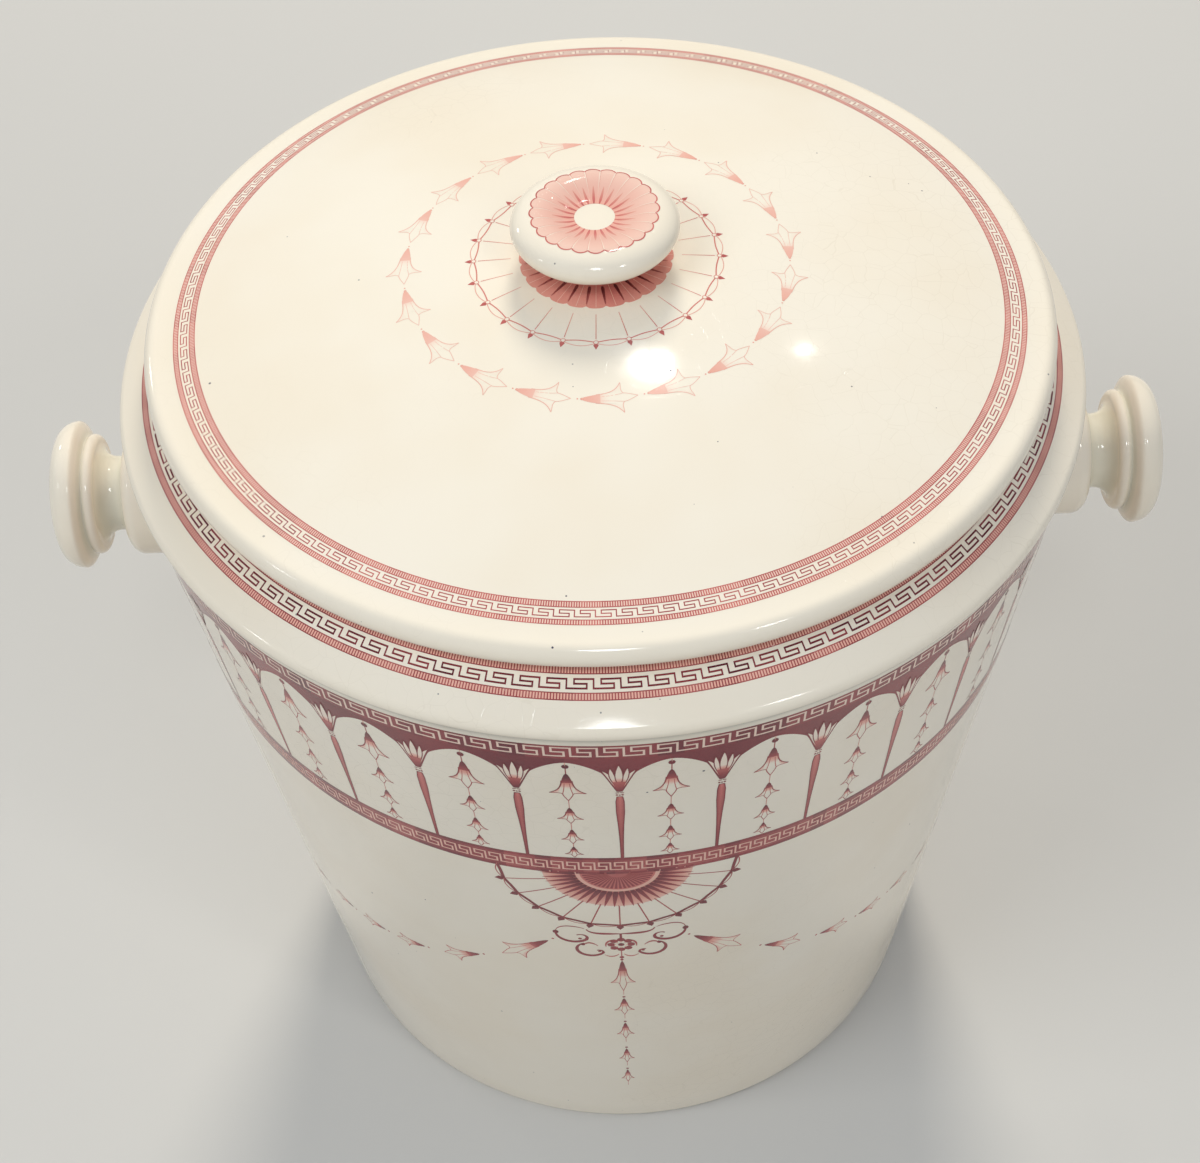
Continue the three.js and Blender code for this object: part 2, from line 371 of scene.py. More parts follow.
pail = {
    "footRadius": 101.8, "taper": 31.3 / 254.8, "wall": 5.5, "floor": 6.5, "footRecess": 3.5,
    "footRingWidth": 8.0, "footRounding": 3.0, "footBevel": 3.0, "floorFillet": 12.0,
    "lipRadius": 131.4, "lipHeight": 254.8, "lipRounding": 3.0, "lipNeck": 4.8,
    "slope": 30.0, "shoulder": 6.0, "shoulderFillet": 8.0, "mouthRadius": 111.5,
    "segments": 480,
}
slant = atan2(pail["taper"], 1)


def wallRadius(height):
    return pail["footRadius"] + pail["taper"] * height


def shoulderHeight(radius):
    lean = radians(pail["slope"])
    r, z = pail["lipRadius"] + pail["lipRounding"] * sin(lean), pail["lipHeight"] + pail["lipRounding"] * cos(lean)
    return z + (r - radius) * tan(lean)


def pailOutline():
    p, lean = pail, radians(pail["slope"])
    f = p["footRounding"]
    foot = (wallRadius(f) - f / cos(slant), f)
    inner = foot[0] - p["footRingWidth"]
    neck = p["lipHeight"] - p["lipNeck"]
    bead = p["shoulder"] / 2
    beadRadius = p["mouthRadius"] + bead
    beadCentre = (beadRadius, shoulderHeight(beadRadius) - bead / cos(lean))
    innerFoot = p["footRadius"] - p["wall"] / cos(slant)
    under = shoulderHeight(0) - p["shoulder"] / cos(lean)
    s = p["shoulderFillet"]
    apex = under - s / cos(lean)                 # the fillet's centre lies on this cone and beside the wall
    filletRadius = (innerFoot + p["taper"] * apex - s / cos(slant)) / (1 + p["taper"] * tan(lean))
    fillet = (filletRadius, apex - filletRadius * tan(lean))
    floorTop = p["footRecess"] + p["floor"]
    c = floorTop + p["floorFillet"]
    corner = (innerFoot + p["taper"] * c - p["floorFillet"] / cos(slant), c)
    lip, low = (p["lipRadius"], p["lipHeight"]), -degrees(slant)
    return traced([
        (0, p["footRecess"]), (inner - p["footBevel"], p["footRecess"]), (inner - 0.5, 0.35), (inner, 0),
        *arc(foot, f, f, -90, low, 8),
        (wallRadius(neck - 1.5), neck - 1.5), (wallRadius(neck) + 0.02, neck),
        *arc(lip, p["lipRounding"], p["lipRounding"], -62, 90 - p["slope"], 14),
        *arc(beadCentre, bead, bead, 90 - p["slope"], 270 - p["slope"], 14),
        *arc(fillet, s, s, 90 - p["slope"], low, 8),
        *arc(corner, p["floorFillet"], p["floorFillet"], low, -90, 8),
        (0, floorTop),
    ])


points = pailOutline()
bareFoot = [1.0 if z < 0.4 and x > 60 else 0.0 for x, z in points]
values = {"Segments": pail["segments"], "Glaze": printedGlaze}
pailBody = grown("pailBody", outlineMesh("pailOutline", points, {"bare": bareFoot}), (turned, values))
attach(pailBody, "pail")
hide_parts("pail_body")


# Lid

lid = {
    "seat": 267.856, "edgeRadius": 120.9, "edgeRounding": 3.7, "borderRadius": 115.9, "borderHeight": 275.656,
    "crown": 16.0, "thickness": 5.6, "flangeRadius": 109.8, "flangeThickness": 4.5, "flangeDepth": 9.0,
    "flangeFillet": 1.2, "segments": 480,
}
domeRadius = (lid["borderRadius"] ** 2 + lid["crown"] ** 2) / (2 * lid["crown"])
crownHeight = lid["borderHeight"] + lid["crown"]


def domeHeight(radius):
    return crownHeight - domeRadius + sqrt(domeRadius ** 2 - radius ** 2)


def lidOutline():
    p = lid
    half, fillet = p["flangeThickness"] / 2, p["flangeFillet"]
    inside = p["flangeRadius"] - p["flangeThickness"]
    tip = (p["flangeRadius"] - half, p["seat"] - p["flangeDepth"] + half)
    edge = (p["edgeRadius"], p["seat"] + p["edgeRounding"])
    steps = 20
    underside = [(r, domeHeight(r) - p["thickness"]) for r in (inside * i / steps for i in range(steps + 1))]
    top = [(r, domeHeight(r)) for r in (p["borderRadius"] * (1 - i / steps) for i in range(steps + 1))]
    return traced([
        *underside, *arc(tip, half, half, 180, 360, 12), (p["flangeRadius"], p["seat"] - fillet),
        *arc((p["flangeRadius"] + fillet, p["seat"] - fillet), fillet, fillet, 180, 90, 4),
        *arc(edge, p["edgeRounding"], p["edgeRounding"], -90, 90, 18), *top,
    ])


values = {"Segments": lid["segments"], "Glaze": printedGlaze}
lidPiece = grown("lidDome", outlineMesh("lidOutline", lidOutline()), (turned, values))
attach(lidPiece, "cover")
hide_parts("lid")


# Lid knob

knob = {
    "radius": 22.6, "height": 15.3, "edgeWidth": 7.0, "edge": 9.2, "dish": 2.2, "dishRadius": 5.6,
    "neck": 9.5, "foot": 12.0, "footCove": 2.6, "capCove": 2.8, "sink": 0.5, "luting": 0.6, "segments": 256,
}


def knobOutline():
    p = knob
    crest = crownHeight + p["height"]
    edge = (p["radius"] - p["edgeWidth"], crest - p["edge"] / 2)
    under = crest - p["edge"]
    foot, wide = domeHeight(p["foot"]), p["foot"] + p["luting"]
    ease = (edge[0] - p["dishRadius"]) / 3
    low = crest - p["dish"]
    return traced([
        (0, foot - p["sink"]), (wide, foot - p["sink"]), (wide, foot - 0.05),
        *arc((wide, foot + p["footCove"]), wide - p["neck"], p["footCove"] + 0.05, 270, 180, 10),
        *arc((p["neck"] + p["capCove"], under - p["capCove"]), p["capCove"], p["capCove"], 180, 90, 8),
        *arc(edge, p["edgeWidth"], p["edge"] / 2, -90, 90, 32),
        *bezier((edge[0], crest), (edge[0] - ease, crest),
                (p["dishRadius"] + ease, low), (p["dishRadius"], low), 16),
        (0, low),
    ], 2.0)


values = {"Segments": knob["segments"], "Glaze": printedGlaze}
knobPiece = grown("knobTurned", outlineMesh("knobOutline", knobOutline()), (turned, values))
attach(knobPiece, "cover")
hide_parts("lid_knob")


# Lugs: turned, then seated on the curve of the wall

lug = {
    "height": 208.0, "flange": 18.4, "flangeThickness": 9.6, "flangeRounding": 4.2, "flangeCove": 2.8,
    "neck": 11.0, "neckLength": 0.4, "ringCove": 4.6, "ring": 17.8, "ringRounding": 1.9, "fill": (0.6, 1.2),
    "head": 21.8, "headRounding": 6.0, "headInner": 2.4, "headOuter": 6.2, "crown": 1.4,
    "luting": 1.1, "sink": 1.0, "followsWall": 4.0, "segments": 160,
}


def seatTree():                                  # lays a turned lug on its side, its root following the wall
    g, given = newTree("Seat on the wall", {
        "Height": ("Float", 0.2), "Side": ("Float", 1.0), "Foot Radius": ("Float", 0.1), "Taper": ("Float", 0.1),
        "Glaze": ("Material", None)})
    spot = g.node("ShaderNodeSeparateXYZ", {}, {0: g.node("GeometryNodeInputPosition")})
    across, up, out = spot["X"] * given["Side"], spot["Y"] + given["Height"], spot["Z"]
    radius = given["Foot Radius"] + up * given["Taper"]
    surface = g.maths("SQRT", radius * radius - across * across)
    plane = given["Foot Radius"] + given["Height"] * given["Taper"]
    away = (plane + (surface - plane) * g.read("onWall") + out) * given["Side"]
    place = g.node("ShaderNodeCombineXYZ", {}, {"X": away, "Y": across, "Z": up})
    seated = g.node("GeometryNodeSetPosition", {}, {"Geometry": given["Geometry"], "Position": place})
    return endTree(g, seated, given["Glaze"])


def lugOutline():
    p = lug
    face = p["flangeThickness"] + p["flangeRounding"]
    neckEnd = face + p["flangeCove"] + p["neckLength"]
    ringMiddle = neckEnd + p["ringCove"] + p["ringRounding"]
    headMiddle = ringMiddle + p["ringRounding"] + p["headInner"]
    headEnd, headIn = headMiddle + p["headOuter"], p["head"] - p["headRounding"]
    f, c, d, r = p["flangeRounding"], p["flangeCove"], p["ringCove"], p["ringRounding"]
    wide = p["flange"] + p["luting"]
    last = 40                                    # degrees round the ring where the glazed-over groove starts
    ring = arc((p["ring"] - r, ringMiddle), r, r, -90, last, 10)
    head = arc((headIn, headMiddle), p["headRounding"], p["headInner"], -50, 0, 6)
    near, far = p["fill"]                        # how the glaze eases the groove between ring and head
    leave = (ring[-1][0] - near * sin(radians(last)), ring[-1][1] + near * cos(radians(last)))
    meet = (head[0][0] - far * 0.95, head[0][1] - far * 0.32)
    return traced([
        (0, -p["sink"]), (wide, -p["sink"]), (wide, -0.02),
        *arc((wide, p["luting"]), p["luting"], p["luting"], 270, 180, 6),
        *arc((p["flange"] - f, p["flangeThickness"]), f, f, 0, 90, 10),
        *arc((p["neck"] + c, face + c), c, c, 270, 180, 8),
        *arc((p["neck"] + d, neckEnd), d, d, 180, 90, 10),
        *ring, *bezier(ring[-1], leave, meet, head[0], 8), *head,
        *arc((headIn, headMiddle), p["headRounding"], p["headOuter"], 0, 90, 14),
        *bezier((headIn, headEnd), (headIn * 0.67, headEnd + p["crown"] * 0.67),
                (headIn * 0.33, headEnd + p["crown"]), (0, headEnd + p["crown"]), 8),
    ], 2.0)


seat = seatTree()
points = lugOutline()
onWall = [max(0.0, min(1.0, 1 - z / lug["followsWall"])) for x, z in points]
for name, side in (("rightLug", 1.0), ("leftLug", -1.0)):
    values = {
        "Height": lug["height"] * mm, "Side": side, "Foot Radius": pail["footRadius"] * mm,
        "Taper": pail["taper"], "Segments": lug["segments"], "Glaze": whiteGlaze}
    piece = grown(name, outlineMesh(name + "Outline", points, {"onWall": onWall}), (turned, values), (seat, values))
    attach(piece, "pail")
    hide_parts("right_lug" if side > 0 else "left_lug")


# The print: engraved plates laid round the clay

class Plate:                                     # flat shapes in millimetres: u along the band, v across it
    def __init__(self, grain=2.6):               # the longest row that still follows the clay
        self.points, self.faces, self.inks, self.layers, self.grain = [], [], [], [], grain

    def strip(self, first, second, ink, far=None, layer=0):  # filled between two lines of equally many points
        widest = max(hypot(b[0] - a[0], b[1] - a[1]) for a, b in zip(first, second))
        rows = max(1, ceil(widest / self.grain))
        start, far = len(self.points), ink if far is None else far
        for i, (a, b) in enumerate(zip(first, second)):
            t = i / (len(first) - 1)
            near, away = [shade(t) if callable(shade) else shade for shade in (ink, far)]
            for j in range(rows + 1):
                s = j / rows
                self.points.append((a[0] + (b[0] - a[0]) * s, a[1] + (b[1] - a[1]) * s))
                self.inks.append(near + (away - near) * s)
                self.layers.append(layer)
                if i and j:
                    k = start + i * (rows + 1) + j
                    self.faces.append((k - rows - 2, k - 1, k, k - rows - 1))

    def line(self, path, width, ink, layer=0, step=1.2):  # width is a number, or a function of how far along
        path = traced(path, step)
        wide = width if callable(width) else lambda t: width
        left, right = [], []
        for i, (u, v) in enumerate(path):
            a, b = path[max(i - 1, 0)], path[min(i + 1, len(path) - 1)]
            p = (u - a[0], v - a[1]) if i else (b[0] - u, b[1] - v)
            q = (b[0] - u, b[1] - v) if i < len(path) - 1 else p
            lp, lq = hypot(*p), hypot(*q)
            p, q = (p[0] / lp, p[1] / lp), (q[0] / lq, q[1] / lq)
            n = (-(p[1] + q[1]), p[0] + q[0])
            size = hypot(*n)
            n = (n[0] / size, n[1] / size) if size > 1e-3 else (-p[1], p[0])
            reach = wide(i / (len(path) - 1)) / 2 / max(0.6, -p[1] * n[0] + p[0] * n[1])
            left.append((u + n[0] * reach, v + n[1] * reach))
            right.append((u - n[0] * reach, v - n[1] * reach))
        self.strip(left, right, ink, layer=layer)

    def ground(self, pitch, low, high, ink, layer=0):       # one bay of a plain band
        bay = [pitch * (i / 4 - 0.5) for i in range(5)]
        self.strip([(u, low) for u in bay], [(u, high) for u in bay], ink, layer=layer)

    def dot(self, centre, radius, ink, tall=1.0, layer=0, sides=8):
        ring = [(centre[0] + radius * cos(2 * pi * i / sides), centre[1] + radius * tall * sin(2 * pi * i / sides))
                for i in range(sides)]
        half = sides // 2
        self.strip(ring[:half + 1], [ring[0]] + ring[:half - 1:-1][:half - 1] + [ring[half]], ink, layer=layer)

    def mesh(self, name, place, flip):           # place turns (u, v) into a point in metres
        mesh = bpy.data.meshes.new(name)
        faces = []
        for face in self.faces:
            ring = [self.points[i] for i in face]
            area = sum(a[0] * b[1] - b[0] * a[1] for a, b in zip(ring, ring[1:] + ring[:1]))
            if abs(area) > 1e-9:
                faces.append(face if (area > 0) != flip else face[::-1])
        mesh.from_pydata([place(*p) for p in self.points], [], faces)
        mesh.attributes.new("ink", "FLOAT", "POINT").data.foreach_set("value", self.inks)
        mesh.attributes.new("layer", "FLOAT", "POINT").data.foreach_set("value", self.layers)
        return mesh


def onSide(radius):                              # u is measured at this radius, v is the height
    return lambda u, v: (0.2 * sin(u / radius), -0.2 * cos(u / radius), v * mm)


def onTop(radius):                               # u is measured at this radius, v is the radius itself
    return lambda u, v: (v * mm * sin(u / radius), -v * mm * cos(u / radius), 0.35)


def printTree():                                 # repeats a plate round the axis and drops it on the clay
    g, given = newTree("Print", {
        "Repeats": ("Int", 1), "Step": ("Float", 0.1), "First": ("Float", 0.0), "Lift": ("Float", 0.00003),
        "From Side": ("Float", 0.0), "Clay": ("Object", None), "Seed": ("Int", 1), "Glaze": ("Material", None)})
    posts = g.node("GeometryNodeMeshLine", {}, {"Count": given["Repeats"], "Offset": (0, 0, 0)})
    turn = given["First"] + g.node("GeometryNodeInputIndex") * given["Step"]
    plates = g.node("GeometryNodeInstanceOnPoints", {}, {
        "Points": posts, "Instance": given["Geometry"],
        "Rotation": g.node("ShaderNodeCombineXYZ", {}, {"Z": turn})})
    luck = g.node("FunctionNodeRandomValue", {"data_type": "FLOAT"}, {2: -1.0, 3: 1.0, "Seed": given["Seed"]}, 1)
    plates = g.store(plates, "wear", luck, domain="INSTANCE")
    flat = g.node("GeometryNodeRealizeInstances", {}, {"Geometry": plates})
    where = g.node("GeometryNodeInputPosition")
    spot = g.node("ShaderNodeSeparateXYZ", {}, {0: where})
    inwards = g.node("ShaderNodeCombineXYZ", {}, {
        "X": 0 - spot["X"] * given["From Side"], "Y": 0 - spot["Y"] * given["From Side"],
        "Z": given["From Side"] * 0.000001 - (1 - given["From Side"])})
    clay = g.node("GeometryNodeObjectInfo", {"transform_space": "ORIGINAL"}, {"Object": given["Clay"]})["Geometry"]
    met = g.node("GeometryNodeRaycast", {"data_type": "FLOAT_VECTOR"}, {
        "Target Geometry": clay, "Attribute": g.read("facing", "FLOAT_VECTOR"), "Source Position": where,
        "Ray Direction": inwards, "Ray Length": 1.0})
    lifted = g.node("ShaderNodeVectorMath", {"operation": "SCALE"},
                    {0: met["Attribute"], "Scale": given["Lift"] * (g.read("layer") + 1)})
    laid = g.node("ShaderNodeVectorMath", {"operation": "ADD"}, {0: met["Hit Position"], 1: lifted})
    kept = g.store(flat, "facing", met["Attribute"], "FLOAT_VECTOR")
    kept = g.node("GeometryNodeSetPosition", {}, {"Geometry": kept, "Position": laid})
    kept = g.node("GeometryNodeSetShadeSmooth", {}, {"Geometry": kept})
    return endTree(g, kept, given["Glaze"])


printing = printTree()


def printed(name, plate, place, flip, clay, body, repeats, seed, first=0.0):
    values = {
        "Repeats": repeats, "Step": radians(360 / repeats), "First": radians(first),
        "From Side": 0.0 if flip else 1.0, "Clay": clay, "Seed": seed, "Glaze": printedGlaze}
    piece = grown(name, plate.mesh(name + "Plate", place, flip), (printing, values))
    facing = piece.data.attributes["facing"].data
    piece.data.normals_split_custom_set_from_vertices([tuple(f.vector) for f in facing])
    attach(piece, body)


def keyUnit(plate, pitch, foot, head, width, ink, layer=0):    # one turn of a running key
    steps = [(0, 1), (0.72, 1), (0.72, 0), (1.47, 0), (1.47, 0.5), (1, 0.5), (1, 1)]
    path = [(pitch * a - pitch / 2, foot + (head - foot) * b) for a, b in steps]
    path[0] = (path[0][0] - width / 2, path[0][1])
    plate.line(path, width, ink, layer)


def ladder(plate, pitch, sizes, which):           # two rails with rungs between them
    (low, high), rungs, ink = sizes[which], sizes["rungs"], sizes["ladderInk"]
    for v in (low, high):
        plate.line([(-pitch / 2, v), (pitch / 2, v)], sizes["rail"], ink)
    for i in range(rungs):
        u = pitch * ((i + 0.5) / rungs - 0.5)
        plate.line([(u, low), (u, high)], sizes["rung"], ink * 0.94)
    plate.ground(pitch, low, high, sizes["ladderTint"], -0.5)


def bell(plate, start, toward, length, half, bud, petal, line=0.26):   # a husk that opens into a bell
    a = hypot(toward[0], toward[1])
    f = (toward[0] / a, toward[1] / a)
    s = (-f[1], f[0])

    def at(t, w):                                # t along the bell, w across it in half widths
        return (start[0] + f[0] * t * length + s[0] * w * half, start[1] + f[1] * t * length + s[1] * w * half)

    def side(t):                                 # half width of the closed part
        return 0.30 * min(1.0, t / 0.34) ** 0.62 + 0.02

    husk = [0.34 * i / 6 for i in range(7)]
    plate.strip([at(t, -side(t)) for t in husk], [at(t, side(t)) for t in husk], lambda t: bud * (1 - 0.30 * t * t))
    haze = [(t, side(t) + 0.1 * (t - 0.34)) for t in (0.34 + 0.26 * i / 3 for i in range(4))]
    plate.strip([at(t, -w) for t, w in haze], [at(t, w) for t, w in haze], lambda t: bud * 0.42 * (1 - t) ** 1.4)
    for w in (-1, 1):
        wing = bezier(at(0.26, 0.27 * w), at(0.52, 0.34 * w), at(0.63, 0.50 * w), at(0.72, 1.0 * w), 8)
        hem = bezier(at(0.72, 1.0 * w), at(0.73, 0.72 * w), at(0.69, 0.46 * w), at(0.75, 0.28 * w), 6)
        tip = bezier(at(0.75, 0.28 * w), at(0.82, 0.27 * w), at(0.92, 0.10 * w), at(1.0, 0.0), 5)
        vein = bezier(at(0.36, 0.14 * w), at(0.52, 0.16 * w), at(0.66, 0.22 * w), at(0.75, 0.28 * w), 5)
        plate.strip(wing[3:], [at(0.60 + 0.02 * i, 0.40 * w) for i in range(6)], petal * 0.30, 0.02, layer=-0.4)
        plate.line(wing, lambda t: line * (1.1 - 0.35 * t), petal)
        plate.line(hem, line * 0.7, petal * 0.85)
        plate.line(tip, line * 0.7, petal * 0.85)
        plate.line(vein, line * 0.6, petal * 0.7)


# Print on the lid

lidPrint = {
    "keys": 141, "bandRadius": 113.0, "innerLadder": (110.05, 111.5), "key": (113.95, 112.25),
    "outerLadder": (114.75, 116.0), "rungs": 8, "keyLine": 0.28, "rail": 0.24, "rung": 0.31,
    "ladderInk": 0.58, "ladderTint": 0.11, "keyInk": 0.66, "keyTint": 0.03,      # ink: 0 none, 1 the deepest
    "flowers": 19, "flowerRadius": 52.0, "flowerLength": 14.6, "flowerHalf": 4.9, "firstFlower": -6.05,
    "flowerInk": 0.23, "flowerLine": 0.24,
    "rays": 24, "firstRay": -1.8, "spoke": (23.0, 31.9), "ringLow": 32.4, "ringPeak": 33.0, "loop": 34.3,
    "heart": (33.5, 35.5), "heartHalf": 0.68, "pearl": 0.62, "petal": (11.6, 20.8), "stroke": (12.6, 19.4),
}
p = lidPrint
band = Plate()
pitch = 2 * pi * p["bandRadius"] / p["keys"]
ladder(band, pitch, p, "innerLadder")
keyUnit(band, pitch, *p["key"], p["keyLine"], p["keyInk"])
band.ground(pitch, p["key"][1] - 0.4, p["key"][0] + 0.4, p["keyTint"], -0.5)
ladder(band, pitch, p, "outerLadder")
printed("lidKeyBand", band, onTop(p["bandRadius"]), True, lidPiece, "cover", p["keys"], seed=3)

flower = Plate()
bell(flower, (0, p["flowerRadius"]), (1, 0), p["flowerLength"], p["flowerHalf"],
     p["flowerInk"], p["flowerInk"], p["flowerLine"])
flower.dot((0.3, p["flowerRadius"]), 0.5, 0.34, 0.8)
flower.dot((-0.9, p["flowerRadius"]), 0.24, 0.28)
printed("lidFlowers", flower, onTop(p["flowerRadius"]), True, lidPiece, "cover", p["flowers"],
        first=p["firstFlower"], seed=4)

rayed = Plate()
pitch = 2 * pi * p["ringPeak"] / p["rays"]
wave = [(pitch * (i / 16 - 0.5), abs(sin(pi * (i / 16 - 0.5)))) for i in range(17)]
rayed.line([(u, p["ringPeak"] - (p["ringPeak"] - p["ringLow"]) * k) for u, k in wave], 0.36, 0.44, step=0.8)
near = p["ringPeak"] + 0.35                      # a thinner line loops outside the ring
rayed.line([(u, near + (p["loop"] - near) * k) for u, k in wave], 0.22, 0.30, step=0.8)
foot, tip = p["heart"]
heart = [(0.16, 0.0), (0.75, 0.12), (1.0, 0.28), (0.72, 0.52), (0.30, 0.80), (0.04, 1.0)]
lefts = [(-w * p["heartHalf"], foot + (tip - foot) * t) for w, t in heart]
rayed.strip(lefts, [(-u, v) for u, v in lefts], 0.60)
pearl, middle = p["pearl"], p["ringPeak"] + 0.05
rayed.dot((0, middle), pearl, 0.03, layer=1, sides=10)
ringlet = [(pearl * cos(2 * pi * i / 10), middle + pearl * sin(2 * pi * i / 10)) for i in range(11)]
rayed.line(ringlet, 0.20, 0.42, layer=1.5, step=0.5)
rayed.line([(0, v) for v in p["spoke"]], 0.26, lambda t: 0.30 + 0.16 * t)
# Petal ring round the knob's foot: print, its fill deepened with painted shade for the knob's shadow
fan = [-0.5 + i / 6 for i in range(7)]
start, end = p["petal"]
wide = [(pitch * k, end - 0.7 * (2 * k) ** 4) for k in fan]
rayed.strip([(u, start) for u, v in wide], wide, 0.48, 0.35, layer=-0.5)
for k in (-0.5, 0.5):                            # a dark stroke each side of a light petal edge
    rayed.line([(pitch * k, v) for v in p["stroke"]],
               lambda t: 2.5 * (1 - 0.85 * t) * min(1.0, 0.5 + 4 * t), lambda t: 0.80 - 0.30 * t, step=0.9)
rayed.line([(0, start + 0.2), (0, end - 0.3)], 0.28, 0.16, layer=0.5)
printed("lidPatera", rayed, onTop(p["ringPeak"]), True, lidPiece, "cover", p["rays"], first=p["firstRay"], seed=5)


# Print on the knob

knobPrint = {"petals": 24, "crest": 17.2, "cusp": 16.2, "disc": 5.4, "stroke": 11.2}
p = knobPrint
rosette = Plate(0.6)
r = p["crest"]
half = pi / p["petals"]
edge = [(r * half * (i / 5 - 1), p["cusp"] + (r - p["cusp"]) * cos(pi / 2 * (i / 5 - 1)) ** 0.7) for i in range(11)]
edge[0], edge[-1] = (edge[0][0], p["cusp"]), (edge[-1][0], p["cusp"])
for low, high, near, away in ((p["disc"], 9.0, 0.27, 0.20), (9.0, 13.0, 0.20, 0.15), (13.0, None, 0.15, 0.12)):
    outer = edge if high is None else [(u, high) for u, v in edge]
    rosette.strip([(u, low) for u, v in edge], outer, near, away)
rosette.line(edge, 0.36, 0.54, layer=1, step=0.8)
rosette.line([(edge[0][0], 8.0), (edge[0][0], p["cusp"])], 0.34, lambda t: 0.16 - 0.11 * t, layer=1)
rosette.line([(edge[0][0] - 0.25, 10.5), (edge[0][0] - 0.20, p["cusp"])], 0.16, lambda t: 0.26 + 0.10 * t, layer=1)
rosette.line([(0, p["disc"]), (0, p["stroke"])], lambda t: 2.2 * (1 - t) ** 0.8 * min(1.0, 0.35 + 2.5 * t) + 0.1,
             lambda t: 0.56 - 0.28 * t, layer=1, step=0.6)
printed("knobRosette", rosette, onTop(r), True, knobPiece, "cover", p["petals"], seed=6)


# Print on the shoulder, its inks deepened with painted shade of the lid's shadow

shoulderPrintAndShade = {
    "keys": 118, "bandRadius": 123.7, "innerLadder": (120.0, 121.6), "key": (124.7, 122.7),
    "outerLadder": (125.7, 127.2), "rungs": 9, "keyLine": 0.42, "rail": 0.24, "rung": 0.29,
    # inks deeper than on the lid's like band: print plus painted shade from the lid's edge
    "ladderInk": 0.78, "outerInk": 0.72, "ladderTint": 0.20, "keyInk": 0.92,
}
p = shoulderPrintAndShade
band = Plate()
pitch = 2 * pi * p["bandRadius"] / p["keys"]
ladder(band, pitch, p, "innerLadder")
keyUnit(band, pitch, *p["key"], p["keyLine"], p["keyInk"])
ladder(band, pitch, {**p, "ladderInk": p["outerInk"]}, "outerLadder")
printed("shoulderKeyBand", band, onTop(p["bandRadius"]), True, pailBody, "pail", p["keys"], seed=7)


# Print on the wall: a key band, arches on slender columns, and a lower key band

wallPrint = {
    "keys": 126, "radius": 129.4, "ground": (242.9, 249.3), "key": (244.3, 248.3), "keyLine": 0.58,
    "arches": 31, "crown": 241.2, "shoulder": (8.85, 236.2), "springing": (12.6, 226.3),
    "shaft": [(223.6, 0.72), (221.0, 1.05), (215.5, 1.05), (208.6, 0.72), (201.7, 0.50),
              (194.3, 0.38), (190.0, 0.34)],     # height, half width
    "pendant": [(235.5, 14.0, 4.75), (217.7, 8.4, 3.5), (205.9, 7.9, 3.1), (196.3, 6.0, 2.6)],
    "lowKeys": 184, "lowRadius": 124.6, "lowBand": (180.6, 190.0), "lowKey": (183.3, 187.3), "lowEdge": 1.3,
}
p = wallPrint
band = Plate()
pitch = 2 * pi * p["radius"] / p["keys"]
band.ground(pitch, *p["ground"], 0.86)
keyUnit(band, pitch, *p["key"], p["keyLine"], 0.10, layer=1)
printed("wallKeyBand", band, onSide(p["radius"]), False, pailBody, "pail", p["keys"], seed=8)

band = Plate()
pitch = 2 * pi * p["lowRadius"] / p["lowKeys"]
low, high = p["lowBand"]
band.ground(pitch, low, low + p["lowEdge"], 0.84)
band.ground(pitch, low + p["lowEdge"], high - p["lowEdge"], 0.74)
band.ground(pitch, high - p["lowEdge"], high, 0.84)
keyUnit(band, pitch, *p["lowKey"], 0.50, 0.17, layer=1)
printed("wallLowBand", band, onSide(p["lowRadius"]), False, pailBody, "pail", p["lowKeys"], seed=9)

arcade = Plate()
half = pi * p["radius"] / p["arches"]            # u is measured from the column
rise = bezier((0, p["crown"]), (3.4, p["crown"] - 0.2), (6.9, 238.3), p["shoulder"], 8)
rise += bezier(p["shoulder"], (9.9, 234.6), (11.2, 229.8), p["springing"], 8)[1:]
petals = [                                       # outer edge, then inner edge, of each petal of the capital
    (((0.5, 226.8), (1.9, 229.9), (3.2, 234.4), (4.4, 237.2)),
     ((0.4, 227.5), (0.9, 231.5), (1.7, 235.4), (4.4, 237.2))),
    (((0.5, 228.5), (2.1, 231.5), (3.1, 235.2), (2.2, 238.4)),
     ((0.3, 229.5), (0.9, 232.5), (1.0, 235.5), (2.2, 238.4))),
    (((0.2, 229.8), (1.2, 232.5), (1.4, 235.8), (0.0, 240.0)),
     ((0.0, 229.8), (0.0, 232.5), (0.0, 235.8), (0.0, 240.0))),
]
for w in (-1, 1):
    arch = [(w * max(half - u, 0.0), v) for u, v in rise] + [(0, p["springing"][1])]
    arcade.strip(arch, [(u, p["ground"][0] + 0.05) for u, v in arch], 0.84)
    arcade.line(arch[:-1], 0.45, 0.82, layer=0.5)
    for i, (outer, inner) in enumerate(petals):
        outer = bezier(*[(w * u, v) for u, v in outer], 10)
        inner = bezier(*[(w * u, v) for u, v in inner], 10)
        arcade.strip(inner, outer, lambda t: max(0.06, 0.74 - 1.9 * t), layer=1 + i)
        arcade.line(outer, 0.28, 0.82, layer=1.4 + i)
        if i < 2:
            arcade.line(inner, 0.22, 0.78, layer=1.4 + i)
    arcade.strip([(0, 226.4), (0, 228.6), (0, 231.4)], [(w * 0.45, 226.4), (w * 1.05, 228.6), (w * 1.75, 231.4)],
                 lambda t: 0.86 - 0.30 * t, layer=4)
    arcade.line([(w * 0.1, 225.9), (w * 1.05, 225.7)], 0.30, 0.78, layer=4)
    arcade.dot((w * 0.72, 224.5), 0.36, 0.80)
    side = [(w * reach, v) for v, reach in p["shaft"]]
    arcade.strip([(0, v) for u, v in side], side, lambda t: 0.42 + 0.32 * t, lambda t: 0.60 + 0.2 * t)
    arcade.line(side, 0.28, 0.82, layer=0.5)
top, reach = p["shaft"][0]
arcade.line([(-reach, top), (reach, top)], 0.26, 0.80, layer=0.5)
